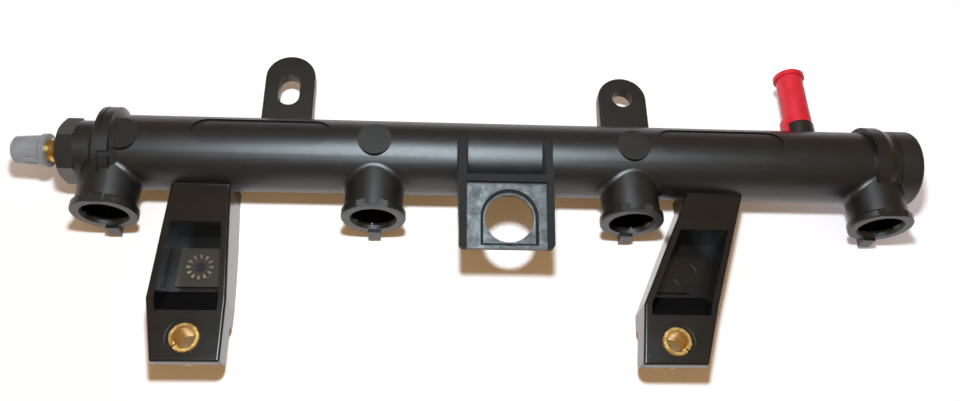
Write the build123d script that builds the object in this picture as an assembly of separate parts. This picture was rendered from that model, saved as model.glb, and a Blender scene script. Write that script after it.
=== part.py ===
from build123d import *
import os

# Four-port fuel rail, millimetres.
# Every shape is drawn about the rail's bore axis: X runs along the rail with
# port 1 at X = 0, the ports point to -Y and +Z is up. At the end all pieces
# move together, so that the origin is the left leg's bolt axis on the plane
# where the legs and the ears seat.

# --- injector ports
PORT_PITCH = 88.0
PORT_COUNT = 4
PORT_REACH = 23.7           # bore axis to the mouth
PORT_NECK_R = 9.9
PORT_LIP_R = 10.9
PORT_LIP_LEN = 2.3
PORT_LIP_TOP = 9.6          # flat cut across the top of the lip
PORT_ROOT_R = 1.6           # fillet where the neck leaves the tube
PORT_BORE_R = 7.0
PORT_BORE_DEPTH = 10.0
PORT_LEAD_IN = 0.9
PORT_HOLE_R = 4.0
KEY_W = 4.2                 # locating tongue that hangs under each mouth
KEY_T = 2.6
KEY_DROP = 3.1
KEY_PROUD = 1.1

PORTS = [i * PORT_PITCH for i in range(PORT_COUNT)]
PORT_2, PORT_3, PORT_4 = PORTS[1], PORTS[2], PORTS[-1]

# --- rail tube and its two ends
TUBE_R = 12.75
TUBE_WALL = 2.75
WELD_X = PORT_4 + 6.0       # face where the end cap is welded on
NECK_R = 10.5
NECK_END_X = -11.0          # left end face of the rail moulding
NECK_BORE_R = 7.75
BORE_START_X = -3.5         # where the small neck bore opens into the main bore
COLLAR_R = 15.3
COLLAR_START = -2.9
COLLAR_END = 2.0
COLLAR_STEP = 0.9
COLLAR_SLOPE = 2.6
END_COLLAR_R = 14.55
END_COLLAR_X = PORT_4 - 3.0
END_COLLAR_W = 4.6
END_LAND_R = 13.4           # land beside the weld, as wide as the end cap
GROOVE = 0.4                # fine parting groove round the collars

# --- legs to the front
LEG_TOP_Z = 2.0
SEAT_Z = -7.2               # underside of feet and ears
LEG_BOLT_Y = -65.7
LEG_END_Y = -73.4
LEG_KNEE_Y = -53.0
LEG_ROOT_SINK = 0.25        # how far the root runs into the tube's front
LEG_ROOT_Y = -TUBE_R + LEG_ROOT_SINK
LEG_ROOT_HALF = 9.8
LEG_KNEE_HALF = 12.5
LEG_FOOT_HALF = 10.6
LEG_BELOW_TUBE = 2.95       # how far the root reaches below the tube
LEG_DROP = TUBE_R + LEG_BELOW_TUBE
LEG_HEEL_Y = -59.8          # rear edge of the foot's seat
LEG_HEEL_DROP = 3.0         # step from the seat down to the belly
LEG_NOSE_Z = -1.5           # foot's front edge, above its swept-up nose
LEG_WALL = 2.5
LEG_EDGE_R = 0.9
POCKET_BACK_Y = -26.4
POCKET_FRONT_Y = -57.0
POCKET_SLOPE_Y = -46.0
POCKET_DEPTH = 13.5
PAD_BACK_Y = -30.8          # raised pad on the pocket floor
PAD_LEN = 13.8
PAD_STEP = 1.1
PAD_SIDE = 1.9
DIAL_R = 4.6
DIAL_LINE = 0.5
LEFT_BOLT_X = 31.9
LEFT_ROOT_X = 30.2
LEFT_KNEE_X = 30.8
LEFT_FOOT_X = 33.0
RIGHT_BOLT_OFF = 10.5       # right leg, measured from port 3
RIGHT_ROOT_OFF = 30.0
RIGHT_KNEE_OFF = 13.6
RIGHT_FOOT_OFF = 9.4
RIGHT_BOLT_X = PORT_3 + RIGHT_BOLT_OFF
RIGHT_ROOT_X = PORT_3 + RIGHT_ROOT_OFF
RIGHT_KNEE_X = PORT_3 + RIGHT_KNEE_OFF
RIGHT_FOOT_X = PORT_3 + RIGHT_FOOT_OFF

# --- brass compression limiters in the feet
LIMITER_R = 4.95
LIMITER_BORE_R = 3.2
LIMITER_SLIT = 0.5
LIMITER_CHAMFER = 0.4
LEFT_SLIT_TURN = 225        # way the slit looks, seen from above, in degrees
RIGHT_SLIT_TURN = 315
LIMITER_RING_R = 5.9        # shallow relief round the limiter's top
RELIEF = 0.35

# --- ears to the rear
EAR_TOP_Z = -2.6
EAR_HALF = 9.0
EAR_HOLE_OUT = 16.4         # distances behind the tube's rear line
SLOT_END_OUT = 22.1
GUSSET_OUT = 11.3
EAR_HOLE_Y = TUBE_R + EAR_HOLE_OUT
EAR_HOLE_R = 3.8
SLOT_LEN = 13.2
SLOT_EAR_X = 55.3
SLOT_EAR_END = TUBE_R + SLOT_END_OUT  # centre of the slotted ear's round end
HOLE_EAR_OFF = 1.8          # ear with the round hole, measured from port 3
HOLE_EAR_X = PORT_3 + HOLE_EAR_OFF
GUSSET_T = 2.6
GUSSET_Y = TUBE_R + GUSSET_OUT
GUSSET_DROP = 4.2

# --- bracket over the tube
BRACKET_OFF = -0.2          # bracket's middle, from midway between ports 2 and 3
BRACKET_X = (PORT_2 + PORT_3) / 2 + BRACKET_OFF
BRACKET_HALF = 15.5
BRACKET_TILT = 12.0
BRACKET_HOLE_R = 8.0
BRACKET_HOLE_DX = 0.9       # hole lies off the middle of the plate
BRACKET_HOLE_OUT = 15.2     # in front of the tube's front line
BRACKET_HOLE_SINK = 0.35    # below the tube's top line
BRACKET_HOLE_Y = -TUBE_R - BRACKET_HOLE_OUT
BRACKET_HOLE_Z = TUBE_R - BRACKET_HOLE_SINK
BRACKET_FRONT = 10.3        # hole centre to the front edge
BRACKET_REAR = 14.1         # hole centre to the rear edge
BRACKET_T = 4.8
RIB_T = 2.4
BAR_W = 2.5
PANEL_DEPTH = 1.8
RECESS_R = 9.5
RECESS_DEPTH = 1.4
RECESS_FRONT = 1.0          # rim left in front of the recess
RIB_TOP_Y = 1.5

# --- fuel inlet
INLET_OFF = 22.2            # distance before port 4
INLET_X = PORT_4 - INLET_OFF
INLET_BOSS_R = 5.3
INLET_BOSS_OUT = 4.25       # lengths behind the tube's rear line
INLET_BEAD_OUT = 16.75
INLET_STEM_OUT = 23.45
INLET_BOSS_END = TUBE_R + INLET_BOSS_OUT
INLET_STEM_R = 3.3
INLET_STEM_END = TUBE_R + INLET_STEM_OUT
INLET_BORE_R = 2.1
INLET_BEAD_R = 3.95
INLET_BEAD_Y = TUBE_R + INLET_BEAD_OUT

# --- marks moulded into the tube
PAD_R = 5.7
PAD_RISE = 0.25
PANEL_CUT = 0.45
PANEL_W = 11.0
PANEL_Y = 2.6
LEFT_PANEL = (27.2, 73.0)
RIGHT_PANEL = (PORT_3 + 9.0, PORT_4 - 35.0)
NOTCH_W = 1.8
NOTCH_LEN = 3.6
NOTCH_DEPTH = 1.4

# --- hexagonal valve plug
HEX_FLAT = 19.4
HEX_END_X = -19.0
HEX_CHAMFER_LEN = 3.0
HEX_NOSE_R = 5.4
SPIGOT_END_X = -5.0
SPIGOT_GAP = 0.05
GLAND_X = -10.6
GLAND_W = 1.9
GLAND_DEPTH = 1.15

# --- valve stem, core and cap
STEM_R = 3.9
STEM_END_X = -26.0
STEM_GROOVE = 0.5
STEM_ANCHOR_X = -14.5       # ring between two grooves that anchors the stem in the plug
STEM_ANCHOR_W = 2.0
STEM_ANCHOR_RISE = 0.8
CORE_BORE_R = 2.65
CORE_BARREL_R = 2.6
CORE_TOP_X = -24.6
CORE_LEN = 9.0
CHAMBER_R = 1.7
WEB_T = 1.8
PIN_R = 0.7
PIN_PROUD = 0.4
PIN_COLLAR_R = 1.4
PIN_COLLAR_T = 0.8
PIN_COLLAR_IN = 1.8
PIN_GAP = 0.12
PLUNGER_R = 2.0
PLUNGER_T = 1.2
PLUNGER_SEAL_T = 0.6
PLUNGER_GAP = 0.05
SEAL_W = 1.0
SEAL_DEPTH = 0.7
SPRING_WIRE_R = 0.2
SPRING_TURNS = 6
SPRING_CLEAR = 0.08
CAP_TIP_X = -33.6
CAP_MOUTH_X = -22.0
CAP_TIP_R = 4.7
CAP_R = 5.2
CAP_SKIRT_R = 5.75
CAP_SKIRT_LEN = 2.4
CAP_FLUTES = 12
CAP_FLUTE_R = 0.55
CAP_GAP = 0.1
CAP_WASHER_T = 0.9

# --- end cap on the right
END_CAP_R = END_LAND_R
END_CAP_LEN = 8.3
END_CAP_EDGE = 1.3
END_CAP_SPIGOT = 1.8
END_CAP_GAP = 0.1

# --- dust cap on the inlet
DUST_BORE_GAP = 0.05
DUST_NEAR_R = 4.95
DUST_FAR_R = 4.75
DUST_LIP_R = 5.6
DUST_LIP_T = 2.0
DUST_LEN = 22.2             # boss to the far end of the lip
DUST_END_GAP = 0.3          # between the inlet's end and the bottom of the cap
DUST_END = INLET_BOSS_END + DUST_LEN
DUST_TAB_REACH = 3.4
DUST_TAB_W = 5.0
DUST_TAB_T = 0.9

BORE_R = TUBE_R - TUBE_WALL


def turned(points):
    """Solid of revolution about X from (x, radius) points."""
    return revolve(make_face(Polyline(*points, close=True)), Axis.X)


def rod_x(radius, start, end):
    """Plain round bar along X."""
    return turned([(start, 0), (start, radius), (end, radius), (end, 0)])


def post(points, x, direction):
    """Solid of revolution about a line square to the rail; points are (distance, radius)."""
    shape = turned(points)
    turn = -90 if direction == "front" else 90
    return Pos(x, 0, 0) * Rot(0, 0, turn) * shape


def plan_prism(points, low, high):
    """Outline seen from above, raised from low to high."""
    face = make_face(Polyline(*points, close=True))
    return Pos(0, 0, low) * extrude(face, high - low)


def side_prism(edges, x_low, x_high):
    """Outline seen from the side, in (y, z), stretched along X."""
    face = Plane.YZ * make_face(edges)
    return Pos(x_low, 0, 0) * extrude(face, x_high - x_low)


# ---------------------------------------------------------------- rail moulding

def tube_shell():
    """Tube with its narrow left neck and the two stiffening collars."""
    end_b = END_COLLAR_X + END_COLLAR_W
    return turned([
        (NECK_END_X, 0), (NECK_END_X, NECK_R),
        (COLLAR_START - COLLAR_SLOPE, NECK_R), (COLLAR_START, COLLAR_R),
        (COLLAR_END, COLLAR_R), (COLLAR_END + GROOVE, COLLAR_R - COLLAR_STEP),
        (COLLAR_END + COLLAR_SLOPE - GROOVE, TUBE_R),
        (END_COLLAR_X, TUBE_R), (END_COLLAR_X, END_COLLAR_R), (end_b, END_COLLAR_R),
        (end_b + COLLAR_SLOPE, END_LAND_R), (WELD_X, END_LAND_R), (WELD_X, 0),
    ])


def collar_marks():
    """Parting groove round the left collar and the small notch in its face."""
    groove_x = COLLAR_START + 1.5
    ring = rod_x(COLLAR_R + 1, groove_x, groove_x + GROOVE)
    ring -= rod_x(COLLAR_R - GROOVE, groove_x - 1, groove_x + 1)
    notch = Box(NOTCH_LEN, NOTCH_W, NOTCH_DEPTH * 2)
    notch = Pos(COLLAR_END + GROOVE - NOTCH_LEN / 2, 0, COLLAR_R) * notch
    return ring + Rot(31, 0, 0) * notch


def port_root(x):
    """Neck of one port with the fillet that blends it into the plain tube."""
    side = PORT_NECK_R + 2 * PORT_ROOT_R
    barrel = rod_x(TUBE_R, x - side, x + side)
    neck_end = PORT_REACH - PORT_LIP_LEN / 2
    joined = barrel + post([
        (0, 0), (0, PORT_NECK_R), (neck_end, PORT_NECK_R), (neck_end, 0),
    ], x, "front")
    seam = joined.edges().filter_by(lambda e: -neck_end < e.center().Y < -PORT_NECK_R / 2
                                    and abs(e.center().X - x) < side - 0.1)
    reach = WELD_X - COLLAR_END
    plain = Pos(COLLAR_END + reach / 2, 0, 0) * Box(reach, 4 * TUBE_R, 4 * TUBE_R)
    return fillet(seam, PORT_ROOT_R) & plain


def port_outside(x):
    """Cup round one port: neck, lip cut flat on top, and the tongue below."""
    lip_start = PORT_REACH - PORT_LIP_LEN
    cup = post([
        (0, 0), (0, PORT_NECK_R), (lip_start - 0.8, PORT_NECK_R),
        (lip_start, PORT_LIP_R), (PORT_REACH - 0.4, PORT_LIP_R),
        (PORT_REACH, PORT_LIP_R - 0.4), (PORT_REACH, 0),
    ], x, "front")
    lip_len = PORT_LIP_LEN + 1
    flat = Box(3 * PORT_LIP_R, lip_len, 2 * PORT_LIP_R)
    flat = Pos(x, lip_len / 2 - PORT_REACH, PORT_LIP_TOP + PORT_LIP_R) * flat
    key_top = -PORT_BORE_R - PORT_LEAD_IN - 0.4
    key_low = -PORT_LIP_R - KEY_DROP
    key = Box(KEY_W, KEY_T, key_top - key_low)
    key = fillet(key.edges().group_by(Axis.Z)[0].filter_by(Axis.Y), 0.7)
    key_y = KEY_T / 2 - PORT_REACH - KEY_PROUD
    return cup - flat + Pos(x, key_y, (key_top + key_low) / 2) * key


def port_inside(x):
    """Bore of one port with its lead-in and the hole into the rail."""
    bottom = PORT_REACH - PORT_BORE_DEPTH
    return post([
        (0, 0), (0, PORT_HOLE_R), (bottom - 1.2, PORT_HOLE_R), (bottom, PORT_BORE_R),
        (PORT_REACH - 2 * PORT_LEAD_IN, PORT_BORE_R),
        (PORT_REACH, PORT_BORE_R + PORT_LEAD_IN), (PORT_REACH + 5, PORT_BORE_R + PORT_LEAD_IN),
        (PORT_REACH + 5, 0),
    ], x, "front")


def leg_plan(root_x, knee_x, foot_x, inset):
    """Outline of a leg from above; inset shrinks it to the pocket's sides."""
    stations = [
        (-BORE_R + 2, root_x, LEG_ROOT_HALF), (LEG_ROOT_Y, root_x, LEG_ROOT_HALF),
        (LEG_KNEE_Y, knee_x, LEG_KNEE_HALF), (LEG_END_Y, foot_x, LEG_FOOT_HALF),
    ]
    left = [(x - half + inset, y) for y, x, half in stations]
    right = [(x + half - inset, y) for y, x, half in reversed(stations)]
    return left + right


def leg_side():
    """Side outline of a leg: flat top, swept-up nose, seat, and the curved belly."""
    heel = (LEG_HEEL_Y + 1.0, SEAT_Z - LEG_HEEL_DROP)
    belly_end = (LEG_ROOT_Y - LEG_ROOT_HALF, -LEG_DROP)
    belly = Bezier(heel, (heel[0] + 11, heel[1] - 2.5), (belly_end[0] - 14, -LEG_DROP), belly_end)
    toe = (LEG_BOLT_Y - LIMITER_R - 0.4, SEAT_Z)
    nose = Bezier((LEG_END_Y, LEG_NOSE_Z), (LEG_END_Y + 0.6, SEAT_Z + 2.2), toe)
    rest = Polyline(
        belly_end, (-BORE_R + 2, -LEG_DROP), (-BORE_R + 2, LEG_TOP_Z),
        (LEG_END_Y, LEG_TOP_Z), (LEG_END_Y, LEG_NOSE_Z),
    )
    return belly + rest + nose + Polyline(toe, (LEG_HEEL_Y, SEAT_Z), heel)


def pocket_side():
    """Side outline of a leg's pocket."""
    floor = LEG_TOP_Z - POCKET_DEPTH
    return Polyline(
        (POCKET_BACK_Y, LEG_TOP_Z + 1), (POCKET_BACK_Y, floor), (POCKET_SLOPE_Y, floor),
        (POCKET_FRONT_Y, SEAT_Z + 3.2), (POCKET_FRONT_Y, LEG_TOP_Z + 1), close=True,
    )


def pad_side():
    """Side outline of the raised pad on a pocket's floor."""
    floor = LEG_TOP_Z - POCKET_DEPTH
    front = PAD_BACK_Y - PAD_LEN
    return Polyline(
        (PAD_BACK_Y, floor - 1), (PAD_BACK_Y, floor + PAD_STEP),
        (front, floor + PAD_STEP), (front, floor - 1), close=True,
    )


def leg(root_x, knee_x, foot_x, bolt_x):
    """Channel-section leg with its foot, pocket and bolt bore."""
    deep = 2 * LEG_DROP
    outline = plan_prism(leg_plan(root_x, knee_x, foot_x, 0), -deep, LEG_TOP_Z)
    low = min(root_x, knee_x, foot_x) - 2 * LEG_KNEE_HALF
    high = max(root_x, knee_x, foot_x) + 2 * LEG_KNEE_HALF
    body = outline & side_prism(leg_side(), low, high)
    corners = body.edges().filter_by(Axis.Z).group_by(Axis.Y)[0]
    body = fillet(corners, LEG_EDGE_R)
    top_edges = body.edges().group_by(Axis.Z)[-1].filter_by(lambda e: e.center().Y < LEG_ROOT_Y - 5)
    body = fillet(top_edges, LEG_EDGE_R)
    hollow = plan_prism(leg_plan(root_x, knee_x, foot_x, LEG_WALL), -deep, LEG_TOP_Z + 2)
    body -= hollow & side_prism(pocket_side(), low, high)
    pad = plan_prism(leg_plan(root_x, knee_x, foot_x, LEG_WALL + PAD_SIDE), -deep, LEG_TOP_Z)
    body += pad & side_prism(pad_side(), low, high)
    pad_z = LEG_TOP_Z - POCKET_DEPTH + PAD_STEP
    lean = (root_x - knee_x) / (LEG_ROOT_Y - LEG_KNEE_Y)
    pad_y = PAD_BACK_Y - PAD_LEN / 2
    pad_x = root_x + lean * (pad_y - LEG_ROOT_Y)
    dial = Cylinder(DIAL_R, RELIEF, align=(Align.CENTER, Align.CENTER, Align.MIN))
    dial -= Cylinder(DIAL_R - DIAL_LINE, RELIEF, align=(Align.CENTER, Align.CENTER, Align.MIN))
    body += Pos(pad_x, pad_y, pad_z) * dial
    height = LEG_TOP_Z - SEAT_Z
    bore = Pos(bolt_x, LEG_BOLT_Y, SEAT_Z + height / 2) * Cylinder(LIMITER_R, height + 2)
    relief = Pos(bolt_x, LEG_BOLT_Y, LEG_TOP_Z) * Cylinder(LIMITER_RING_R, 2 * RELIEF)
    return body - bore - relief


def ear(x, end_y, slot_len):
    """Flat rear ear with a round end, its hole or slot, and two gussets below."""
    thick = EAR_TOP_Z - SEAT_Z
    root_y = BORE_R - 2
    plate = Pos(x, (end_y + root_y) / 2, 0) * Box(2 * EAR_HALF, end_y - root_y, thick)
    plate += Pos(x, end_y, 0) * Cylinder(EAR_HALF, thick)
    rim = plate.edges().group_by(Axis.Z)[-1].filter_by(lambda e: e.center().Y > TUBE_R)
    plate = fillet(rim, LEG_EDGE_R)
    plate = Pos(0, 0, (EAR_TOP_Z + SEAT_Z) / 2) * plate
    for side in (-1, 1):
        web = Polyline(
            (root_y, SEAT_Z + 1), (GUSSET_Y, SEAT_Z + 1), (GUSSET_Y, SEAT_Z),
            (TUBE_R, SEAT_Z - GUSSET_DROP), (root_y, SEAT_Z - GUSSET_DROP), close=True,
        )
        edge = x + side * (EAR_HALF - GUSSET_T / 2)
        plate += side_prism(web, edge - GUSSET_T / 2, edge + GUSSET_T / 2)
    opening = Cylinder(EAR_HOLE_R, thick + 2)
    if slot_len > 2 * EAR_HOLE_R:
        opening = extrude(SlotOverall(slot_len, 2 * EAR_HOLE_R, rotation=90), thick / 2 + 1, both=True)
    return plate - Pos(x, EAR_HOLE_Y, (EAR_TOP_Z + SEAT_Z) / 2) * opening


def bracket_place():
    """Moves a shape from the plate's own frame, centred on its hole, to the rail."""
    return Pos(BRACKET_X, BRACKET_HOLE_Y, BRACKET_HOLE_Z) * Rot(BRACKET_TILT, 0, 0)


def bracket():
    """Tray-shaped plate on two ribs that reach back over the tube."""
    length = BRACKET_FRONT + BRACKET_REAR
    middle = (BRACKET_REAR - BRACKET_FRONT) / 2
    tray = Pos(0, middle, PANEL_DEPTH - BRACKET_T / 2) * Box(2 * BRACKET_HALF, length, BRACKET_T)
    corners = tray.edges().filter_by(Axis.Z).group_by(Axis.Y)[0]
    tray = fillet(corners, 1.5)
    panel_len = length - BAR_W
    panel = Pos(0, middle - BAR_W / 2 - 1, PANEL_DEPTH) * Box(
        2 * (BRACKET_HALF - RIB_T), panel_len + 2, 2 * PANEL_DEPTH)
    tray -= panel
    crests = tray.edges().group_by(Axis.Z)[-1].filter_by(Axis.Y)
    tray = fillet(crests, 0.8)
    recess_len = BRACKET_FRONT - RECESS_FRONT
    recess = Cylinder(RECESS_R, 2 * RECESS_DEPTH)
    recess += Pos(0, -recess_len / 2, 0) * Box(2 * RECESS_R, recess_len, 2 * RECESS_DEPTH)
    hole = Cylinder(BRACKET_HOLE_R, 4 * BRACKET_T)
    openings = Pos(BRACKET_HOLE_DX, 0, 0) * (recess + hole)
    plate = bracket_place() * (tray - openings)
    rear_top = (bracket_place() * Pos(0, BRACKET_REAR, PANEL_DEPTH)).position
    front_low = (bracket_place() * Pos(0, -BRACKET_FRONT + 6, PANEL_DEPTH - BRACKET_T)).position
    rear_low = (bracket_place() * Pos(0, BRACKET_REAR - 1, PANEL_DEPTH - BRACKET_T)).position
    rib = Polyline(
        (RIB_TOP_Y, BORE_R + 1), (RIB_TOP_Y, TUBE_R - 0.1), (rear_top.Y, rear_top.Z),
        (rear_top.Y - 2, rear_top.Z - 1.5), (front_low.Y, front_low.Z + 1),
        (front_low.Y, front_low.Z), (-BORE_R - 1.5, 0), (-BORE_R + 1, BORE_R - 4), close=True,
    )
    for side in (-1, 1):
        centre = BRACKET_X + side * (BRACKET_HALF - RIB_T / 2)
        plate += side_prism(rib, centre - RIB_T / 2, centre + RIB_T / 2)
    web = Polyline(
        (rear_low.Y, rear_low.Z + 1), (rear_low.Y - RIB_T, rear_low.Z + 0.5),
        (-TUBE_R - 0.5, 3), (-BORE_R - 1, 3), close=True,
    )
    return plate + side_prism(web, BRACKET_X - BRACKET_HALF + 1, BRACKET_X + BRACKET_HALF - 1)


def inlet_outside():
    """Boss and beaded stem of the fuel inlet."""
    return post([
        (BORE_R - 1, 0), (BORE_R - 1, INLET_BOSS_R), (INLET_BOSS_END - 0.6, INLET_BOSS_R),
        (INLET_BOSS_END, INLET_BOSS_R - 0.6), (INLET_BOSS_END, INLET_STEM_R),
        (INLET_BEAD_Y - 1.5, INLET_STEM_R), (INLET_BEAD_Y - 0.6, INLET_BEAD_R),
        (INLET_BEAD_Y + 0.6, INLET_BEAD_R), (INLET_BEAD_Y + 1.5, INLET_STEM_R),
        (INLET_STEM_END - 0.8, INLET_STEM_R), (INLET_STEM_END, INLET_STEM_R - 0.8),
        (INLET_STEM_END, 0),
    ], INLET_X, "rear")


def inlet_inside():
    """Fuel passage through the inlet."""
    return post([(0, 0), (0, INLET_BORE_R), (INLET_STEM_END + 1, INLET_BORE_R),
                 (INLET_STEM_END + 1, 0)], INLET_X, "rear")


def round_pads():
    """Low flat discs on top of the tube near the first three ports."""
    discs = []
    for x in (2 * COLLAR_SLOPE, PORT_2, PORT_3):
        disc = Cylinder(PAD_R, TUBE_WALL, align=(Align.CENTER, Align.CENTER, Align.MAX))
        discs.append(Pos(x, 0, TUBE_R + PAD_RISE) * disc)
    return discs


def panel_cut(start, end):
    """Shallow stadium-shaped recess that follows the tube's surface."""
    outline = SlotOverall(end - start, PANEL_W)
    column = Pos((start + end) / 2, PANEL_Y, 0) * extrude(outline, 2 * TUBE_R)
    skin = rod_x(TUBE_R + 2, start - 1, end + 1)
    skin -= rod_x(TUBE_R - PANEL_CUT, start - 2, end + 2)
    return column & skin


def inner_bore():
    """Main bore from the weld face, and the narrower neck bore with its gland."""
    return turned([
        (NECK_END_X - 1, 0), (NECK_END_X - 1, NECK_BORE_R), (BORE_START_X, NECK_BORE_R),
        (BORE_START_X + 1.5, BORE_R), (WELD_X + 1, BORE_R), (WELD_X + 1, 0),
    ])


def rail_body():
    """The whole rail moulding as one solid."""
    body = tube_shell()
    for x in PORTS:
        body += port_root(x)
        body += port_outside(x)
    for disc in round_pads():
        body += disc
    body += inlet_outside()
    body += leg(LEFT_ROOT_X, LEFT_KNEE_X, LEFT_FOOT_X, LEFT_BOLT_X)
    body += leg(RIGHT_ROOT_X, RIGHT_KNEE_X, RIGHT_FOOT_X, RIGHT_BOLT_X)
    body += ear(SLOT_EAR_X, SLOT_EAR_END, SLOT_LEN)
    body += ear(HOLE_EAR_X, EAR_HOLE_Y, 0)
    body += bracket()
    body -= inner_bore()
    body -= rod_x(END_CAP_R + END_CAP_GAP, WELD_X, WELD_X + END_CAP_LEN)
    for x in PORTS:
        body -= port_inside(x)
    body -= inlet_inside()
    body -= collar_marks()
    body -= panel_cut(*LEFT_PANEL)
    body -= panel_cut(*RIGHT_PANEL)
    return body


# ---------------------------------------------------------------- pieces on the rail

def limiter(bolt_x, slit_turn):
    """Rolled brass sleeve, split along one side, with its bolt lead-in on top."""
    height = LEG_TOP_Z - SEAT_Z
    sleeve = Cylinder(LIMITER_R, height)
    sleeve = chamfer(sleeve.edges(), LIMITER_CHAMFER)
    core = Cylinder(LIMITER_BORE_R, height + 1)
    sleeve -= core
    mouth = sleeve.edges().group_by(Axis.Z)[-1].filter_by(lambda e: e.radius < LIMITER_R - 1)
    sleeve = chamfer(mouth, LIMITER_CHAMFER)
    slit = Pos(LIMITER_R / 2, 0, 0) * Box(LIMITER_R + 1, LIMITER_SLIT, height + 1)
    return Pos(bolt_x, LEG_BOLT_Y, SEAT_Z + height / 2) * Rot(0, 0, slit_turn) * (sleeve - slit)


def end_cap():
    """Welded closure of the right end: disc with a rounded edge and a spigot."""
    end_x = WELD_X + END_CAP_LEN
    spigot_r = BORE_R - END_CAP_GAP
    weld_r = END_CAP_R - GROOVE
    cap = turned([
        (WELD_X, 0), (WELD_X, weld_r), (WELD_X + GROOVE, weld_r), (WELD_X + GROOVE, END_CAP_R),
        (end_x, END_CAP_R), (end_x, 0),
    ])
    cap = fillet(cap.edges().group_by(Axis.X)[-1], END_CAP_EDGE)
    cap += turned([
        (WELD_X - END_CAP_SPIGOT, spigot_r - 2.5), (WELD_X - END_CAP_SPIGOT, spigot_r - 0.5),
        (WELD_X - END_CAP_SPIGOT + 0.5, spigot_r), (WELD_X, spigot_r), (WELD_X, spigot_r - 2.5),
    ])
    return cap


def valve_plug():
    """Hexagonal plug that carries the valve stem, with its gland for the O-ring."""
    head = Plane.YZ * RegularPolygon(HEX_FLAT / 2, 6, major_radius=False, rotation=90)
    head = Pos(HEX_END_X, 0, 0) * extrude(head, NECK_END_X - HEX_END_X)
    corner = HEX_FLAT
    head &= turned([
        (HEX_END_X, 0), (HEX_END_X, HEX_NOSE_R),
        (HEX_END_X + HEX_CHAMFER_LEN, HEX_FLAT / 2 / 0.87), (NECK_END_X, corner), (NECK_END_X, 0),
    ])
    spigot_r = NECK_BORE_R - SPIGOT_GAP
    gland_r = NECK_BORE_R - GLAND_DEPTH
    spigot = turned([
        (NECK_END_X, 0), (NECK_END_X, spigot_r), (GLAND_X, spigot_r), (GLAND_X, gland_r),
        (GLAND_X + GLAND_W, gland_r), (GLAND_X + GLAND_W, spigot_r),
        (SPIGOT_END_X - 0.5, spigot_r), (SPIGOT_END_X, spigot_r - 0.5), (SPIGOT_END_X, 0),
    ])
    return head + spigot - valve_stem_outside(SPIGOT_END_X + 1)


def plug_o_ring():
    """O-ring squeezed between the plug's gland and the neck bore."""
    centre_r = NECK_BORE_R - GLAND_DEPTH / 2
    section = Pos(GLAND_X + GLAND_W / 2, centre_r) * Ellipse(GLAND_W / 2 - 0.1, GLAND_DEPTH / 2)
    return revolve(section, Axis.X)


def valve_stem_outside(inner_end):
    """Outside of the brass stem with two anchoring grooves."""
    groove = STEM_R - STEM_GROOVE
    ring = STEM_R + STEM_ANCHOR_RISE
    ring_start = STEM_ANCHOR_X
    ring_end = ring_start + STEM_ANCHOR_W
    first = ring_start - STEM_ANCHOR_W
    last = ring_end + STEM_ANCHOR_W
    return turned([
        (STEM_END_X, 0), (STEM_END_X, STEM_R - 0.5), (STEM_END_X + 0.5, STEM_R),
        (first, STEM_R), (first, groove), (ring_start, groove), (ring_start, ring),
        (ring_end, ring), (ring_end, groove), (last, groove), (last, STEM_R),
        (inner_end, STEM_R), (inner_end, 0),
    ])


def valve_stem():
    """Brass stem moulded into the plug, bored for the valve core."""
    inner_end = SPIGOT_END_X
    core_end = CORE_TOP_X + CORE_LEN
    bore = turned([
        (STEM_END_X - 1, 0), (STEM_END_X - 1, CORE_BORE_R), (core_end - 1.0, CORE_BORE_R),
        (core_end, PLUNGER_R + 0.35), (inner_end + 1, PLUNGER_R + 0.35), (inner_end + 1, 0),
    ])
    return valve_stem_outside(inner_end) - bore


def core_barrel():
    """Threaded barrel of the valve core with its spring chamber and guide web."""
    end = CORE_TOP_X + CORE_LEN
    groove_a = end - WEB_T - SEAL_W + 0.4
    groove_r = CORE_BARREL_R - SEAL_DEPTH
    outside = turned([
        (CORE_TOP_X, 0), (CORE_TOP_X, CORE_BARREL_R), (groove_a, CORE_BARREL_R),
        (groove_a, groove_r), (groove_a + SEAL_W, groove_r),
        (groove_a + SEAL_W, PLUNGER_R + 0.25), (end, PLUNGER_R + 0.25), (end, 0),
    ])
    inside = turned([
        (CORE_TOP_X - 1, 0), (CORE_TOP_X - 1, CHAMBER_R), (end - WEB_T, CHAMBER_R),
        (end - WEB_T, PIN_R + PIN_GAP), (end + 1, PIN_R + PIN_GAP), (end + 1, 0),
    ])
    key_slot = Pos(CORE_TOP_X, 0, 0) * Box(2.0, 3 * CORE_BARREL_R, 1.2)
    return outside - inside - key_slot


def core_seal_ring():
    """Seal ring in the barrel's groove, tight in the stem's bore."""
    end = CORE_TOP_X + CORE_LEN
    groove_a = end - WEB_T - SEAL_W + 0.4
    groove_r = CORE_BARREL_R - SEAL_DEPTH
    return turned([
        (groove_a, groove_r), (groove_a, CORE_BORE_R - 0.02), (groove_a + SEAL_W * 0.6, CORE_BORE_R - 0.02),
        (groove_a + SEAL_W, groove_r + 0.3), (groove_a + SEAL_W, groove_r),
    ])


def collar_face_x():
    """Underside of the pin's collar, where the spring bears."""
    return CORE_TOP_X + PIN_COLLAR_IN + PIN_COLLAR_T


def core_pin():
    """Valve pin with its spring collar and the plunger disc at the inner end."""
    start = CORE_TOP_X - PIN_PROUD
    face = collar_face_x()
    seat = CORE_TOP_X + CORE_LEN + PLUNGER_GAP
    disc = seat + PLUNGER_SEAL_T
    return turned([
        (start, 0), (start, PIN_R), (face - PIN_COLLAR_T, PIN_R),
        (face - PIN_COLLAR_T, PIN_COLLAR_R), (face, PIN_COLLAR_R), (face, PIN_R),
        (disc, PIN_R), (disc, PLUNGER_R), (disc + PLUNGER_T, PLUNGER_R),
        (disc + PLUNGER_T, 0),
    ])


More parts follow.
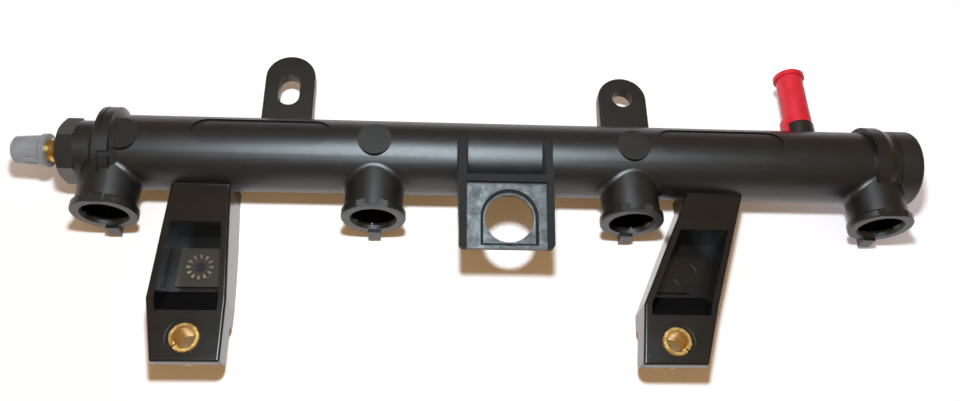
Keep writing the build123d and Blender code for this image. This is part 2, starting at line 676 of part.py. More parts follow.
def plunger_seal():
    """Rubber washer on the plunger disc that closes on the barrel's end."""
    seat = CORE_TOP_X + CORE_LEN + PLUNGER_GAP
    return turned([
        (seat, PIN_R), (seat, PLUNGER_R), (seat + PLUNGER_SEAL_T, PLUNGER_R),
        (seat + PLUNGER_SEAL_T, PIN_R),
    ])


def core_spring():
    """Closing spring between the barrel's web and the pin's collar."""
    web = CORE_TOP_X + CORE_LEN - WEB_T
    start = collar_face_x() + SPRING_WIRE_R
    length = web - SPRING_WIRE_R - start
    radius = CHAMBER_R - SPRING_CLEAR - SPRING_WIRE_R
    path = Helix(length / SPRING_TURNS, length, radius)
    wire = Plane(origin=path @ 0, z_dir=path % 0) * Circle(SPRING_WIRE_R)
    coil = sweep(wire, path)
    return Pos(start, 0, 0) * Rot(0, 90, 0) * coil


def valve_cap():
    """Fluted screw cap over the valve stem."""
    skirt_x = CAP_MOUTH_X - CAP_SKIRT_LEN
    cap = turned([
        (CAP_TIP_X, 0), (CAP_TIP_X, CAP_TIP_R - 0.9), (CAP_TIP_X + 0.9, CAP_TIP_R),
        (skirt_x, CAP_R), (skirt_x + 0.6, CAP_SKIRT_R), (CAP_MOUTH_X, CAP_SKIRT_R), (CAP_MOUTH_X, 0),
    ])
    flute = Pos((CAP_TIP_X + skirt_x) / 2, CAP_R + 0.1, 0) * Rot(0, 90, 0) * Cylinder(
        CAP_FLUTE_R, skirt_x - CAP_TIP_X - 2.2)
    for i in range(CAP_FLUTES):
        cap -= Rot(i * 360 / CAP_FLUTES, 0, 0) * flute
    bottom = STEM_END_X - CAP_WASHER_T
    return cap - rod_x(STEM_R + CAP_GAP, bottom, CAP_MOUTH_X + 1)


def cap_washer():
    """Rubber washer in the bottom of the valve cap."""
    bottom = STEM_END_X - CAP_WASHER_T
    return turned([
        (bottom, PIN_R + 1.0), (bottom, STEM_R), (STEM_END_X, STEM_R), (STEM_END_X, PIN_R + 1.0),
    ])


def dust_cap():
    """Moulded dust cap over the inlet: tapered body, far lip and one side tab."""
    near = INLET_BOSS_END
    lip_start = DUST_END - DUST_LIP_T
    cap = post([
        (near, 0), (near, DUST_NEAR_R), (lip_start, DUST_FAR_R), (lip_start, DUST_LIP_R),
        (DUST_END - 0.5, DUST_LIP_R), (DUST_END, DUST_LIP_R - 0.5), (DUST_END, 0),
    ], INLET_X, "rear")
    tab_inner = INLET_BOSS_R + DUST_BORE_GAP
    tab_outer = tab_inner + DUST_TAB_T
    tab = post([
        (near - DUST_TAB_REACH, tab_inner), (near - DUST_TAB_REACH, tab_outer),
        (near + 2 * DUST_TAB_T, tab_outer), (near + 4 * DUST_TAB_T, DUST_NEAR_R - DUST_TAB_T),
        (near, DUST_NEAR_R - DUST_TAB_T), (near, tab_inner),
    ], INLET_X, "rear")
    tab_box = Pos(INLET_X - tab_outer, near, 0) * Box(tab_outer, 4 * tab_outer, DUST_TAB_W)
    cap += tab & tab_box
    cap -= post([
        (near - 1, 0), (near - 1, INLET_BEAD_R + DUST_BORE_GAP),
        (INLET_STEM_END + DUST_END_GAP, INLET_BEAD_R + DUST_BORE_GAP),
        (INLET_STEM_END + DUST_END_GAP, 0),
    ], INLET_X, "rear")
    return cap


PIECES = {
    "rail_body": rail_body(),
    "end_cap": end_cap(),
    "valve_plug": valve_plug(),
    "valve_plug_o_ring": plug_o_ring(),
    "valve_stem": valve_stem(),
    "valve_core_barrel": core_barrel(),
    "valve_core_seal_ring": core_seal_ring(),
    "valve_core_pin": core_pin(),
    "valve_core_plunger_seal": plunger_seal(),
    "valve_core_spring": core_spring(),
    "valve_cap": valve_cap(),
    "valve_cap_washer": cap_washer(),
    "left_leg_limiter": limiter(LEFT_BOLT_X, LEFT_SLIT_TURN),
    "right_leg_limiter": limiter(RIGHT_BOLT_X, RIGHT_SLIT_TURN),
    "inlet_dust_cap": dust_cap(),
}

to_origin = Pos(-LEFT_BOLT_X, -LEG_BOLT_Y, -SEAT_Z)
os.makedirs("parts", exist_ok=True)
for name, piece in PIECES.items():
    export_step(to_origin * piece, f"parts/{name}.step")
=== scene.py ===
import bpy
import bmesh
import math
from mathutils import Euler, Matrix, Vector


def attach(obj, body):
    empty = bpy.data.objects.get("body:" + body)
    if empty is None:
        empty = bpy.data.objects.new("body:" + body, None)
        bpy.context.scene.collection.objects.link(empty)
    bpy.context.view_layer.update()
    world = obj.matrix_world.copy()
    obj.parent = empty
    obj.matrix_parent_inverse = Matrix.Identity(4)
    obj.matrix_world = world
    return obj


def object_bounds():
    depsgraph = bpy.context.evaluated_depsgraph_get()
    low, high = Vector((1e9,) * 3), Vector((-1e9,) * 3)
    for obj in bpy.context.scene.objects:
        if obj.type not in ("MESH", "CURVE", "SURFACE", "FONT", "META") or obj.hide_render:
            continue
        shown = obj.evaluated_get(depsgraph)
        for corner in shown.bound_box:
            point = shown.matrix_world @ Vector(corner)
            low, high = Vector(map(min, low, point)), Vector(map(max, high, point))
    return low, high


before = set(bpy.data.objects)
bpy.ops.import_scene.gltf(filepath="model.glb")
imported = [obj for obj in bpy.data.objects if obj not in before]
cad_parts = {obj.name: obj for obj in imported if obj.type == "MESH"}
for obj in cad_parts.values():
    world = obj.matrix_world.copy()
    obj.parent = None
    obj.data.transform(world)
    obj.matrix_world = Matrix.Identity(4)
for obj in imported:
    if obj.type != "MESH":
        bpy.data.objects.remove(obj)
cad_box = [list(corner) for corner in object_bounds()]

MM = 0.001
# port 1 on the rail's bore axis, in mm from the frame's origin
PORT_1 = Vector((-31.9, 65.7, 7.2))


def at(x, y, z):
    """Place given in mm from port 1 on the bore axis, as a place in the frame in metres."""
    return (PORT_1 + Vector((x, y, z))) * MM


def zone(x, y, z):
    """Two corners of a box in the frame, from its reach along X, Y and Z in mm from port 1."""
    return at(x[0], y[0], z[0]), at(x[1], y[1], z[1])


# sizes in mm, and places in mm from port 1 on the bore axis
TUBE_R = 12.75
PORT_PITCH = 88
PORTS = [PORT_PITCH * i for i in range(4)]
PORT_MOUTH_Y = -23.7
PORT_CHAMFER = 1.2
PORT_BORE_R = 7.0
PORT_BORE_END_Y = -10
LEG_TOE_Y = -75
LEG_NECK_Y = -27
LEG_ROOT_Y = -12.8
LEG_Z = (-20, 10.5)
PAD_BACK_Y = -30.8
PAD_FRONT_Y = -44.6
PAD_TOP_Z = -10.4
DIAL = (30.57, -37.7)
DIAL_R = 4.6
BRACKET_HOLE = Vector((132.7, -27.95, 12.4))
BRACKET_MIDDLE_X = 131.8
BRACKET_TILT = math.radians(12)
BRACKET_HALF = 15.5
BRACKET_REAR = 14.1
RIB_HALF = 1.2
BAR_W = 2.6
RECESS_R = 9.5
RECESS_DEPTH = 1.4
RECESS_LEN = 9.3
STEM_R = 3.9
STEM_THREAD_X = -21.95
FLOOR_GAP = 0.12

# parts of the moulding that have a finish of their own, and the pad with a painted sheen
# painted sheen: the pad is the same black moulding, coloured lighter to stand in for the light
# its flat face catches
PAD_PAINTED_SHEEN = (0.040, 0.035, 0.029)
PAD_ZONE = zone(
    (18, 44), (PAD_FRONT_Y - 0.05, PAD_BACK_Y + 0.05), (PAD_TOP_Z - 0.3, PAD_TOP_Z + 0.6))
LEG_ROUGH = 0.2
# each leg has a box in front of its neck, and a narrower one behind it that leaves out the port
LEG_ZONES = [
    zone((8, 46), (LEG_TOE_Y, LEG_NECK_Y), LEG_Z),
    zone((17, 46), (LEG_NECK_Y, LEG_ROOT_Y), LEG_Z),
    zone((160, 220), (LEG_TOE_Y, LEG_NECK_Y), LEG_Z),
    zone((187.5, 220), (LEG_NECK_Y, LEG_ROOT_Y), LEG_Z),
]
PLATE_ROUGH = (0.36, 0.62)
PLATE_ZONE = zone((114, 150), (-45, -15), (4, 16.6))
EDGE_ROUGH = 1.0
BRACKET_ZONE = zone((BRACKET_MIDDLE_X - 16, BRACKET_MIDDLE_X + 16), (-46, 3), (-4, 18))
BORE_ROUGH = 0.07
BORE_ZONE_R = PORT_BORE_R + 0.3
BORE_ZONES = [
    zone((x - BORE_ZONE_R, x + BORE_ZONE_R),
         (PORT_MOUTH_Y + PORT_CHAMFER, PORT_BORE_END_Y),
         (-BORE_ZONE_R, BORE_ZONE_R))
    for x in PORTS
]

# the grain's noise stays mostly between these two values
NOISE_LOW = 0.35
NOISE_HIGH = 0.65

# floor, lamps, world and camera: places, reaches and sizes in metres, powers in watts,
# the camera's turn in degrees
FLOOR_SIZE = 6
FLOOR_COLOUR = (0.93, 0.91, 0.89)
FLOOR_GLOW_NEAR = (0.13, 0.075, 0.03)
FLOOR_GLOW_FAR = (0.38, 0.44, 0.56)
FLOOR_GLOW_CENTRE = (0.072, 0.02, 0)
FLOOR_GLOW_WEIGHTS = (1, 1.4, 0)
FLOOR_GLOW_REACH = (0.11, 0.26)
LAMP_AIM = at(120, -15, 0)
KEY_PLACE = at(104, -46, 297)
KEY_SIZE = (0.03, 0.03)
KEY_POWER = 1.1
KEY_COLOUR = (0.93, 1.0, 1.1)
GLARE_PLACE = at(104, -52, 300)
GLARE_SIZE = (0.19, 0.2)
GLARE_POWER = 1.62
GLARE_COLOUR = (0.82, 1.0, 1.09)
WORLD_COLOUR = (1.0, 0.66, 0.37)
WORLD_STRENGTH = 0.28
CAMERA_PLACE = at(104.933, -147.116, 262.397)
CAMERA_TURN = (26.5584, -3.8123, -0.6914)
CAMERA_LENS = 32.209


# ---------------------------------------------------------------- finishes

def new_finish(name):
    """Material with its nodes, its links and its main shader."""
    finish = bpy.data.materials.new(name)
    finish.use_nodes = True
    tree = finish.node_tree
    return finish, tree.nodes, tree.links, tree.nodes["Principled BSDF"]


def part_place(nodes):
    """Place of a point of the part, in the frame in metres."""
    return nodes.new("ShaderNodeTexCoord").outputs["Object"]


def coordinates(nodes, links, place):
    """X, Y and Z of a place, each as a socket."""
    split = nodes.new("ShaderNodeSeparateXYZ")
    links.new(place, split.inputs["Vector"])
    return split.outputs


def distance(nodes, links, centre, weights):
    """Distance from a place in the frame, with a weight for each axis."""
    centred = nodes.new("ShaderNodeMapping")
    shift = [-side * weight for side, weight in zip(centre, weights)]
    centred.inputs["Location"].default_value = shift
    centred.inputs["Scale"].default_value = weights
    links.new(part_place(nodes), centred.inputs["Vector"])
    reach = nodes.new("ShaderNodeVectorMath")
    reach.operation = "LENGTH"
    links.new(centred.outputs["Vector"], reach.inputs[0])
    return reach.outputs["Value"]


def grain(nodes, links, scale, detail, rough=0.6):
    """Noise that is fixed to the part."""
    noise = nodes.new("ShaderNodeTexNoise")
    noise.inputs["Scale"].default_value = scale
    noise.inputs["Detail"].default_value = detail
    noise.inputs["Roughness"].default_value = rough
    links.new(part_place(nodes), noise.inputs["Vector"])
    return noise.outputs["Fac"]


def spread(nodes, links, source, low, high, start=NOISE_LOW, end=NOISE_HIGH):
    """Number that goes from low to high while the source goes from start to end."""
    reach = nodes.new("ShaderNodeMapRange")
    reach.inputs["From Min"].default_value = start
    reach.inputs["From Max"].default_value = end
    reach.inputs["To Min"].default_value = low
    reach.inputs["To Max"].default_value = high
    links.new(source, reach.inputs["Value"])
    return reach.outputs["Result"]


def two_tone(nodes, links, source, dark, light):
    """Colour that goes from dark to light over the grain's usual values."""
    ramp = nodes.new("ShaderNodeValToRGB")
    first, last = ramp.color_ramp.elements
    first.position = NOISE_LOW
    first.color = (*dark, 1)
    last.position = NOISE_HIGH
    last.color = (*light, 1)
    links.new(source, ramp.inputs["Fac"])
    return ramp.outputs["Color"]


def bumps(nodes, links, shader, layers):
    """Stack of bump layers given as (height source, strength, distance in mm)."""
    last = None
    for height, strength, rise in layers:
        bump = nodes.new("ShaderNodeBump")
        bump.inputs["Strength"].default_value = strength
        bump.inputs["Distance"].default_value = rise * MM
        links.new(height, bump.inputs["Height"])
        if last:
            links.new(last, bump.inputs["Normal"])
        last = bump.outputs["Normal"]
    links.new(last, shader.inputs["Normal"])


def feed(links, socket, side):
    """Give a socket its value, which is a plain number or another socket."""
    if isinstance(side, (int, float)):
        socket.default_value = side
    else:
        links.new(side, socket)


def combine(nodes, links, operation, first, second):
    """One step of arithmetic on two sides, each a socket or a plain number."""
    step = nodes.new("ShaderNodeMath")
    step.operation = operation
    feed(links, step.inputs[0], first)
    feed(links, step.inputs[1], second)
    return step.outputs[0]


def inside_box(nodes, links, box):
    """1 inside a box given by two corners in the frame, in metres, else 0."""
    low, high = box
    inside = 1.0
    for value, start, end in zip(coordinates(nodes, links, part_place(nodes)), low, high):
        over = combine(nodes, links, "GREATER_THAN", value, start)
        under = combine(nodes, links, "LESS_THAN", value, end)
        both = combine(nodes, links, "MULTIPLY", over, under)
        inside = combine(nodes, links, "MULTIPLY", inside, both)
    return inside


def inside_bore(nodes, links, box):
    """1 in the round space that fills a box about an axis along Y, else 0."""
    low, high = box
    from_axis = distance(nodes, links, (low + high) / 2, (1, 0, 1))
    near = combine(nodes, links, "LESS_THAN", from_axis, (high.x - low.x) / 2)
    return combine(nodes, links, "MULTIPLY", near, inside_box(nodes, links, box))


def on_bracket_edges(nodes, links):
    """1 on the bracket's two ribs and on the bar between them, clear of the tube, else 0."""
    middle = at(BRACKET_MIDDLE_X, 0, 0)
    rib_slack = 0.05
    tube_slack = 0.12
    rib_inside = (BRACKET_HALF - 2 * RIB_HALF - rib_slack) * MM
    bar_front = at(0, BRACKET_HOLE.y + BRACKET_REAR - BAR_W, 0).y
    tube_skin = (TUBE_R + tube_slack) * MM

    x = coordinates(nodes, links, part_place(nodes))["X"]
    offset = combine(nodes, links, "SUBTRACT", x, middle.x)
    out = combine(nodes, links, "ABSOLUTE", offset, 0.0)
    rib = combine(nodes, links, "GREATER_THAN", out, rib_inside)

    level = nodes.new("ShaderNodeVectorRotate")
    level.rotation_type = "X_AXIS"
    level.inputs["Center"].default_value = at(*BRACKET_HOLE)
    level.inputs["Angle"].default_value = -BRACKET_TILT
    links.new(part_place(nodes), level.inputs["Vector"])
    along = coordinates(nodes, links, level.outputs["Vector"])["Y"]
    bar = combine(nodes, links, "GREATER_THAN", along, bar_front)

    from_axis = distance(nodes, links, middle, (0, 1, 1))
    clear = combine(nodes, links, "GREATER_THAN", from_axis, tube_skin)
    edges = combine(nodes, links, "MAXIMUM", rib, bar)
    edges = combine(nodes, links, "MULTIPLY", edges, clear)
    return combine(nodes, links, "MULTIPLY", edges, inside_box(nodes, links, BRACKET_ZONE))


def choose(nodes, links, mask, plain, special):
    """Number that is plain where the mask is 0 and special where it is 1."""
    mix = nodes.new("ShaderNodeMix")
    links.new(mask, mix.inputs["Factor"])
    feed(links, mix.inputs["A"], plain)
    feed(links, mix.inputs["B"], special)
    return mix.outputs["Result"]


def choose_colour(nodes, links, mask, plain, special):
    """Colour that is plain where the mask is 0 and special where it is 1."""
    mix = nodes.new("ShaderNodeMix")
    mix.data_type = "RGBA"
    links.new(mask, mix.inputs["Factor"])
    links.new(plain, mix.inputs["A"])
    mix.inputs["B"].default_value = (*special, 1)
    return mix.outputs["Result"]


def rail_zones(nodes, links, colour, rough):
    """The rail's colour and roughness, with the pad's painted sheen and the legs, bracket and
    bores set apart.
    """
    # the pad gets the lighter colour of its painted sheen
    colour = choose_colour(nodes, links, inside_box(nodes, links, PAD_ZONE), colour, PAD_PAINTED_SHEEN)
    for box in LEG_ZONES:
        rough = choose(nodes, links, inside_box(nodes, links, box), rough, LEG_ROUGH)
    scratches = grain(nodes, links, 300, 6, 0.8)
    scuffs = spread(nodes, links, scratches, *PLATE_ROUGH, start=0.36, end=0.6)
    rough = choose(nodes, links, inside_box(nodes, links, PLATE_ZONE), rough, scuffs)
    rough = choose(nodes, links, on_bracket_edges(nodes, links), rough, EDGE_ROUGH)
    for box in BORE_ZONES:
        rough = choose(nodes, links, inside_bore(nodes, links, box), rough, BORE_ROUGH)
    return colour, rough


def glass_filled_nylon(name, dark, light, rough_low, rough_high, zones=None):
    """Black moulding: fine spark-eroded grain, faint flow clouds and rub marks."""
    finish, nodes, links, shader = new_finish(name)
    flow = grain(nodes, links, 150, 3)
    fine = grain(nodes, links, 2600, 4, 0.7)
    rubs = grain(nodes, links, 420, 8, 0.75)
    colour = two_tone(nodes, links, flow, dark, light)
    rough = spread(nodes, links, rubs, rough_low, rough_high)
    if zones:
        colour, rough = zones(nodes, links, colour, rough)
    links.new(colour, shader.inputs["Base Color"])
    links.new(rough, shader.inputs["Roughness"])
    bumps(nodes, links, shader, [(fine, 0.22, 0.05), (flow, 0.12, 0.25)])
    shader.inputs["Specular IOR Level"].default_value = 0.7
    return finish


def turned_brass(name, dark, light, rough_low, rough_high, ring_axis):
    """Bright yellow metal with fine turning lines across an axis and a little tarnish."""
    finish, nodes, links, shader = new_finish(name)
    stain = grain(nodes, links, 420, 5)
    fine = grain(nodes, links, 3800, 3)
    lines = nodes.new("ShaderNodeTexWave")
    lines.wave_type = "BANDS"
    lines.bands_direction = ring_axis
    lines.inputs["Scale"].default_value = 900
    lines.inputs["Distortion"].default_value = 0.4
    links.new(part_place(nodes), lines.inputs["Vector"])
    links.new(two_tone(nodes, links, stain, dark, light), shader.inputs["Base Color"])
    links.new(spread(nodes, links, stain, rough_high, rough_low), shader.inputs["Roughness"])
    shader.inputs["Metallic"].default_value = 1.0
    bumps(nodes, links, shader, [(fine, 0.08, 0.03), (lines.outputs["Fac"], 0.12, 0.03)])
    return finish


def soft_plastic(name, dark, light, rough_low, rough_high, grain_strength):
    """Plain coloured plastic with faint clouds and a fine grain."""
    finish, nodes, links, shader = new_finish(name)
    cloud = grain(nodes, links, 140, 4)
    fine = grain(nodes, links, 2200, 4, 0.7)
    links.new(two_tone(nodes, links, cloud, dark, light), shader.inputs["Base Color"])
    links.new(spread(nodes, links, cloud, rough_low, rough_high), shader.inputs["Roughness"])
    bumps(nodes, links, shader, [(fine, grain_strength, 0.05)])
    return finish


def rubber(name):
    """Dull black rubber."""
    finish, nodes, links, shader = new_finish(name)
    cloud = grain(nodes, links, 500, 5)
    colour = two_tone(nodes, links, cloud, (0.012, 0.012, 0.012), (0.03, 0.03, 0.03))
    links.new(colour, shader.inputs["Base Color"])
    links.new(spread(nodes, links, cloud, 0.55, 0.8), shader.inputs["Roughness"])
    bumps(nodes, links, shader, [(cloud, 0.3, 0.03)])
    return finish


def drawn_wire(name):
    """Grey spring wire with fine streaks."""
    finish, nodes, links, shader = new_finish(name)
    streak = grain(nodes, links, 1500, 3)
    colour = two_tone(nodes, links, streak, (0.4, 0.4, 0.41), (0.62, 0.62, 0.63))
    links.new(colour, shader.inputs["Base Color"])
    links.new(spread(nodes, links, streak, 0.25, 0.4), shader.inputs["Roughness"])
    shader.inputs["Metallic"].default_value = 1.0
    bumps(nodes, links, shader, [(streak, 0.1, 0.02)])
    return finish


rail_black = glass_filled_nylon(
    "rail_black", (0.0048, 0.0048, 0.0049), (0.0078, 0.0074, 0.0070), 0.36, 0.42, rail_zones)
matt_black = glass_filled_nylon(
    "matt_black", (0.0040, 0.0040, 0.0041), (0.0062, 0.0060, 0.0056), 0.85, 0.98)
# painted highlight: the dial ticks are black moulding, coloured light tan to stand in for the
# light they catch
tick_highlight_black = glass_filled_nylon(
    "tick_highlight_black", (0.09, 0.07, 0.04), (0.24, 0.19, 0.115), 0.5, 0.65)
cap_black = glass_filled_nylon(
    "cap_black", (0.006, 0.0058, 0.0055), (0.0095, 0.009, 0.0082), 0.42, 0.5)
plug_black = glass_filled_nylon(
    "plug_black", (0.008, 0.008, 0.008), (0.009, 0.0087, 0.0082), 0.3, 0.4)
stem_brass = turned_brass(
    "stem_brass", (0.70, 0.43, 0.12), (0.90, 0.60, 0.20), 0.2, 0.34, "X")
sleeve_brass = turned_brass(
    "sleeve_brass", (0.74, 0.49, 0.16), (0.92, 0.66, 0.26), 0.18, 0.32, "Z")
cap_grey = soft_plastic(
    "cap_grey", (0.225, 0.235, 0.255), (0.29, 0.305, 0.325), 0.26, 0.38, 0.3)
cap_red = soft_plastic(
    "cap_red", (0.62, 0.014, 0.032), (0.72, 0.022, 0.045), 0.38, 0.5, 0.12)
seal_rubber = rubber("seal_rubber")
spring_wire = drawn_wire("spring_wire")

NODE_FINISH = {
    "rail_body": rail_black,
    "end_cap": cap_black,
    "valve_plug": plug_black,
    "valve_plug_o_ring": seal_rubber,
    "valve_stem": stem_brass,
    "valve_core_barrel": stem_brass,
    "valve_core_seal_ring": seal_rubber,
    "valve_core_pin": stem_brass,
    "valve_core_plunger_seal": seal_rubber,
    "valve_core_spring": spring_wire,
    "valve_cap": cap_grey,
    "valve_cap_washer": seal_rubber,
    "left_leg_limiter": sleeve_brass,
    "right_leg_limiter": sleeve_brass,
    "inlet_dust_cap": cap_red,
}


def coat(piece, finish):
    """Give a piece its one finish."""
    piece.data.materials.clear()
    piece.data.materials.append(finish)


for node, finish in NODE_FINISH.items():
    coat(bpy.data.objects[node], finish)


# ---------------------------------------------------------------- added pieces

def start_piece():
    """Leave nothing selected, so that the next primitive is worked on alone."""
    bpy.ops.object.select_all(action="DESELECT")


def edit_all():
    """Go into edit mode with the whole mesh selected."""
    bpy.ops.object.mode_set(mode="EDIT")
    bpy.ops.mesh.select_all(action="SELECT")


def pick(piece, test, mode="FACE"):
    """Select, in edit mode, the faces or edges whose middle passes the test."""
    bpy.ops.mesh.select_mode(type=mode)
    bpy.ops.mesh.select_all(action="DESELECT")
    mesh = bmesh.from_edit_mesh(piece.data)
    group = mesh.faces if mode == "FACE" else mesh.edges
    for part in group:
        corners = [corner.co for corner in part.verts]
        part.select = test(sum(corners, Vector()) / len(corners))
    mesh.select_flush_mode()
    bmesh.update_edit_mesh(piece.data)


def close_up(piece, smooth=40):
    """Merge doubles, turn faces outwards, apply the place and shade smooth up to an angle."""
    bpy.context.view_layer.objects.active = piece
    edit_all()
    bpy.ops.mesh.remove_doubles(threshold=1e-6)
    bpy.ops.mesh.select_all(action="SELECT")
    bpy.ops.mesh.normals_make_consistent(inside=False)
    bpy.ops.object.mode_set(mode="OBJECT")
    bpy.ops.object.select_all(action="DESELECT")
    piece.select_set(True)
    bpy.ops.object.transform_apply(location=True, rotation=True, scale=True)
    bpy.ops.object.shade_smooth_by_angle(angle=math.radians(smooth))


def join_pieces(pieces):
    """Make several pieces one object."""
    bpy.ops.object.select_all(action="DESELECT")
    for piece in pieces:
        piece.select_set(True)
    bpy.context.view_layer.objects.active = pieces[0]
    bpy.ops.object.join()
    return bpy.context.object


def dress(piece, name, finish):
    """Name a finished piece, give it its finish and let it ride on the rail."""
    piece.name = name
    coat(piece, finish)
    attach(piece, "rail")


def root_fillet(x, side):
    """Hollow fillet between one face of a rib and the tube, as a turned ring segment."""
    size = 0.8
    sink = 0.15
    steps = 7
    rear_angle = math.radians(6)
    sweep = math.radians(62)
    outline = [(-sink, -sink)]
    for i in range(steps + 1):
        turn = math.radians(90 * i / steps)
        outline.append((size * (1 - math.sin(turn)), size * (1 - math.cos(turn))))
    start_piece()
    bpy.ops.mesh.primitive_circle_add(vertices=len(outline), fill_type="NGON")
    piece = bpy.context.object
    for corner, (out, rise) in zip(piece.data.vertices, outline):
        corner.co = Vector((x + side * out, 0, TUBE_R + rise)) * MM
    edit_all()
    bpy.ops.transform.rotate(value=rear_angle, orient_axis="X", center_override=(0, 0, 0))
    bpy.ops.mesh.spin(steps=32, angle=-sweep, center=(0, 0, 0), axis=(1, 0, 0))
    bpy.ops.object.mode_set(mode="OBJECT")
    piece.location = at(0, 0, 0)
    close_up(piece)
    return piece


def rib_root_fillets():
    """Fillets on both faces of both bracket ribs, where they meet the tube."""
    fillets = []
    for side in (-1, 1):
        x = BRACKET_MIDDLE_X + side * (BRACKET_HALF - RIB_HALF)
        fillets += [root_fillet(x - RIB_HALF, -1), root_fillet(x + RIB_HALF, 1)]
    dress(join_pieces(fillets), "rib_root_fillets", rail_black)


def recess_edge():
    """Sloped edge round the arched recess at the bracket's hole."""
    slack = 0.05
    slope = 1.0
    wall = 0.25
    start_piece()
    bpy.ops.mesh.primitive_circle_add(
        vertices=72, radius=(RECESS_R + slack) * MM, fill_type="NGON")
    piece = bpy.context.object
    edit_all()
    bpy.ops.mesh.bisect(plane_co=(0, 0, 0), plane_no=(0, 1, 0), clear_inner=True)
    pick(piece, lambda middle: middle.y < 0.01 * MM, "EDGE")
    straight = (0, -(RECESS_LEN + slack) * MM, 0)
    bpy.ops.mesh.extrude_region_move(TRANSFORM_OT_translate={"value": straight})
    edit_all()
    bpy.ops.mesh.dissolve_limited(angle_limit=math.radians(1))
    bpy.ops.mesh.select_all(action="SELECT")
    bpy.ops.mesh.inset(thickness=slope * MM, depth=-RECESS_DEPTH * MM, use_even_offset=True)
    bpy.ops.mesh.delete(type="ONLY_FACE")
    bpy.ops.object.mode_set(mode="OBJECT")
    shell = piece.modifiers.new("wall", "SOLIDIFY")
    shell.thickness = wall * MM
    shell.offset = -1
    bpy.ops.object.modifier_apply(modifier="wall")
    piece.rotation_euler = (BRACKET_TILT, 0, 0)
    piece.location = at(*BRACKET_HOLE)
    close_up(piece, 30)
    dress(piece, "recess_edge", matt_black)


def dial_tick():
    """One raised tick on the +X side of the dial's middle, narrow at its inner end."""
    length = 1.7
    width = 1.3
    height = 0.5
    lift = 0.18
    x = DIAL_R - length / 2
    top_taper = (0.8, 0.7, 1)
    inner_taper = (1, 0.45, 1)
    start_piece()
    bpy.ops.mesh.primitive_cube_add(size=MM)
    tick = bpy.context.object
    edit_all()
    bpy.ops.transform.resize(value=(length, width, height))
    bpy.ops.transform.translate(value=(x * MM, 0, lift * MM))
    pick(tick, lambda middle: middle.z > (lift + height / 4) * MM)
    bpy.ops.transform.resize(value=top_taper, center_override=(x * MM, 0, 0))
    pick(tick, lambda middle: middle.x < (x - length / 4) * MM)
    bpy.ops.transform.resize(value=inner_taper)
    bpy.ops.object.mode_set(mode="OBJECT")
    return tick


def dial_ticks():
    """Ring of raised ticks on the left leg's pad."""
    count = 12
    ticks = [dial_tick()]
    for _ in range(count - 1):
        tick = ticks[0].copy()
        tick.data = ticks[0].data.copy()
        bpy.context.collection.objects.link(tick)
        ticks.append(tick)
    for i, tick in enumerate(ticks):
        tick.rotation_euler = (0, 0, math.tau * i / count)
        tick.location = at(*DIAL, PAD_TOP_Z)
        close_up(tick)
    # the ticks carry the light tan colour of their painted highlight
    dress(join_pieces(ticks), "dial_ticks", tick_highlight_black)


def hub_disc():
    """Low disc with a sunk top, in the middle of the dial."""
    radius = 1.5
    height = 0.4
    lift = 0.1
    rim = 0.3
    sunk = 0.15
    start_piece()
    bpy.ops.mesh.primitive_cylinder_add(vertices=40, radius=radius * MM, depth=height * MM)
    disc = bpy.context.object
    edit_all()
    pick(disc, lambda middle: middle.z > height / 4 * MM)
    bpy.ops.mesh.inset(thickness=rim * MM, depth=-sunk * MM)
    bpy.ops.object.mode_set(mode="OBJECT")
    disc.location = at(*DIAL, PAD_TOP_Z + lift)
    close_up(disc)
    return disc


def hub_pointer():
    """Plain pointer that tapers to its tip, across the dial's middle."""
    width = 0.55
    length = 2.3
    height = 0.4
    lift = 0.15
    tip_taper = (0.25, 1, 1)
    turn = math.radians(35)
    start_piece()
    bpy.ops.mesh.primitive_cube_add(size=MM)
    pointer = bpy.context.object
    edit_all()
    bpy.ops.transform.resize(value=(width, length, height))
    pick(pointer, lambda middle: middle.y > length / 4 * MM)
    bpy.ops.transform.resize(value=tip_taper)
    bpy.ops.object.mode_set(mode="OBJECT")
    pointer.rotation_euler = (0, 0, turn)
    pointer.location = at(*DIAL, PAD_TOP_Z + lift)
    close_up(pointer)
    return pointer


def dial_hub():
    """Low disc with a plain pointer in the middle of the dial."""
    dress(join_pieces([hub_disc(), hub_pointer()]), "dial_hub", matt_black)


def stem_thread():
    """Thread of the valve stem where it shows between the cap and the plug."""
    pitch = 0.8
    turns = 2.4
    steps = 110
    section = [(0, -0.25), (0.24, 0.2), (0.38, 0.2), (0.62, -0.25)]
    start_piece()
    bpy.ops.mesh.primitive_circle_add(vertices=len(section), fill_type="NOTHING")
    piece = bpy.context.object
    for corner, (along, rise) in zip(piece.data.vertices, section):
        corner.co = Vector((along, 0, STEM_R + rise)) * MM
    screw = piece.modifiers.new("thread", "SCREW")
    screw.axis = "X"
    screw.angle = math.tau * turns
    screw.screw_offset = pitch * turns * MM
    screw.steps = steps
    screw.render_steps = steps
    screw.use_merge_vertices = True
    bpy.ops.object.modifier_apply(modifier="thread")
    edit_all()
    bpy.ops.mesh.fill_holes(sides=0)
    bpy.ops.object.mode_set(mode="OBJECT")
    piece.location = at(STEM_THREAD_X, 0, 0)
    close_up(piece, 25)
    dress(piece, "stem_thread", stem_brass)


rib_root_fillets()
recess_edge()
dial_ticks()
dial_hub()
stem_thread()


# ---------------------------------------------------------------- floor, light and camera

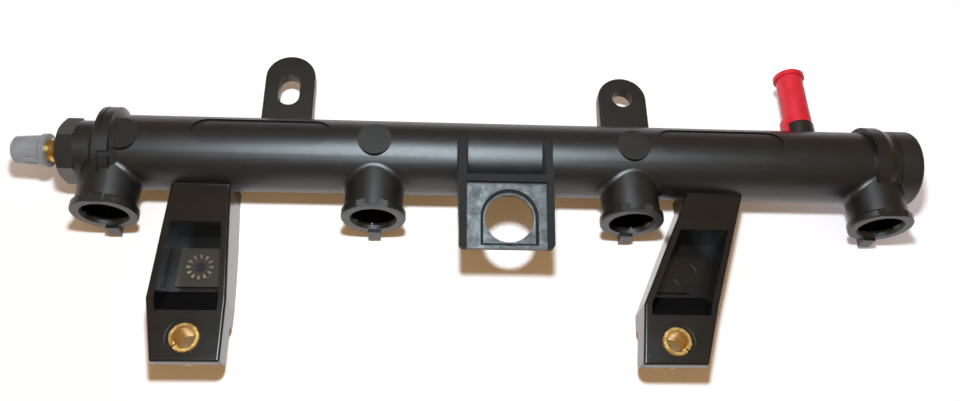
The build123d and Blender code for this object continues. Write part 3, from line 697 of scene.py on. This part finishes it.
def floor_glow(nodes, links, shader):
    """Lift the floor to white for camera and gloss rays, and less near the rail's shadow."""
    reach = distance(nodes, links, FLOOR_GLOW_CENTRE, FLOOR_GLOW_WEIGHTS)
    edge = spread(nodes, links, reach, 0.0, 1.0, *FLOOR_GLOW_REACH)
    glow = nodes.new("ShaderNodeMix")
    glow.data_type = "RGBA"
    links.new(edge, glow.inputs["Factor"])
    glow.inputs["A"].default_value = (*FLOOR_GLOW_NEAR, 1)
    glow.inputs["B"].default_value = (*FLOOR_GLOW_FAR, 1)
    links.new(glow.outputs["Result"], shader.inputs["Emission Color"])
    path = nodes.new("ShaderNodeLightPath").outputs
    seen = combine(nodes, links, "MAXIMUM", path["Is Camera Ray"], path["Is Glossy Ray"])
    links.new(seen, shader.inputs["Emission Strength"])


def studio_floor():
    """Pale floor just under the rail's lowest point."""
    finish, nodes, links, shader = new_finish("pale_floor")
    shader.inputs["Base Color"].default_value = (*FLOOR_COLOUR, 1)
    shader.inputs["Roughness"].default_value = 0.8
    shader.inputs["Specular IOR Level"].default_value = 0.0
    floor_glow(nodes, links, shader)
    bpy.ops.mesh.primitive_plane_add(size=FLOOR_SIZE)
    floor = bpy.context.object
    floor.name = "studio_floor"
    for corner in floor.data.vertices:
        corner.co.z = cad_box[0][2] - FLOOR_GAP * MM
    floor.data.materials.append(finish)


def soft_lamp(name, place, size, power, colour):
    """Rectangular lamp that looks at the middle of the rail."""
    lamp = bpy.data.lights.new(name, "AREA")
    lamp.shape = "RECTANGLE"
    lamp.size = size[0]
    lamp.size_y = size[1]
    lamp.energy = power
    lamp.color = colour
    holder = bpy.data.objects.new(name, lamp)
    holder.location = place
    holder.rotation_euler = (LAMP_AIM - place).to_track_quat("-Z", "Y").to_euler()
    bpy.context.collection.objects.link(holder)
    return holder


def lamps():
    """Small key lamp, and beside it a wider one that shows in reflections only."""
    key = soft_lamp("key", KEY_PLACE, KEY_SIZE, KEY_POWER, KEY_COLOUR)
    key.visible_glossy = False
    glare = soft_lamp("glare", GLARE_PLACE, GLARE_SIZE, GLARE_POWER, GLARE_COLOUR)
    glare.visible_diffuse = False


def warm_world():
    """Weak warm light from all round."""
    world = bpy.data.worlds.new("studio")
    bpy.context.scene.world = world
    world.use_nodes = True
    background = world.node_tree.nodes["Background"]
    background.inputs["Color"].default_value = (*WORLD_COLOUR, 1)
    background.inputs["Strength"].default_value = WORLD_STRENGTH


def front_camera():
    """Camera above and in front of the rail, looking down at it."""
    camera = bpy.data.cameras.new("camera")
    camera.sensor_width = 36
    camera.lens = CAMERA_LENS
    camera.clip_start = 0.01
    holder = bpy.data.objects.new("camera", camera)
    turn = Euler([math.radians(angle) for angle in CAMERA_TURN])
    holder.matrix_world = Matrix.LocRotScale(CAMERA_PLACE, turn, None)
    bpy.context.collection.objects.link(holder)
    bpy.context.scene.camera = holder


studio_floor()
lamps()
warm_world()
front_camera()

bpy.context.scene.view_settings.view_transform = "Standard"
